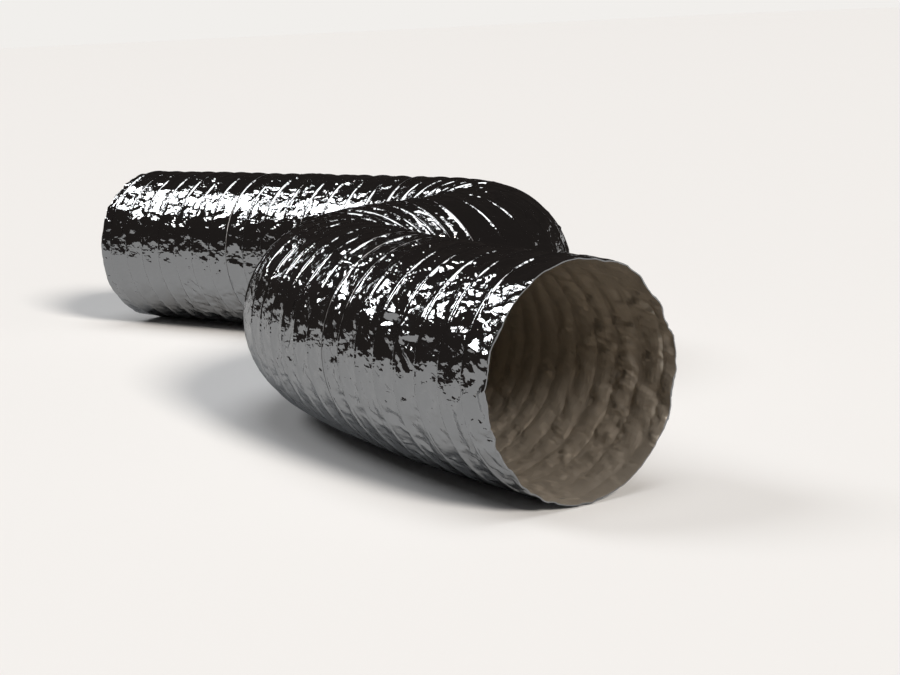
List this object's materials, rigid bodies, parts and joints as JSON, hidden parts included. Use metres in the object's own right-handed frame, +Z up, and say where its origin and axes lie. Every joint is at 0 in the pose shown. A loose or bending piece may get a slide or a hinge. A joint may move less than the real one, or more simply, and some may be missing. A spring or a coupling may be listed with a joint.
{
  "type": "flexible air duct",
  "caption": "Length of uninsulated flexible duct lying in an S bend: a crinkled foil laminate tube held round by a spiral wire, open at both ends for sliding over spigots.",
  "frame": {"origin": "centre of the front mouth, in the plane of its cut edge", "axes": "+X out of the front mouth along its axis, +Z up from the floor that the duct lies on, +Y to the left of +X"},
  "size_m": [1.2931, 0.6178, 0.2074],
  "materials": {
    "foil_laminate": "bright crinkled foil",
    "spring_wire": "drawn spring steel"
  },
  "bodies": {
    "root": {"sleeve_front_run": "foil_laminate", "sleeve_right_bend": "foil_laminate", "sleeve_left_bend": "foil_laminate", "sleeve_rear_run": "foil_laminate", "wire_helix": "spring_wire"}
  },
  "joints": []
}
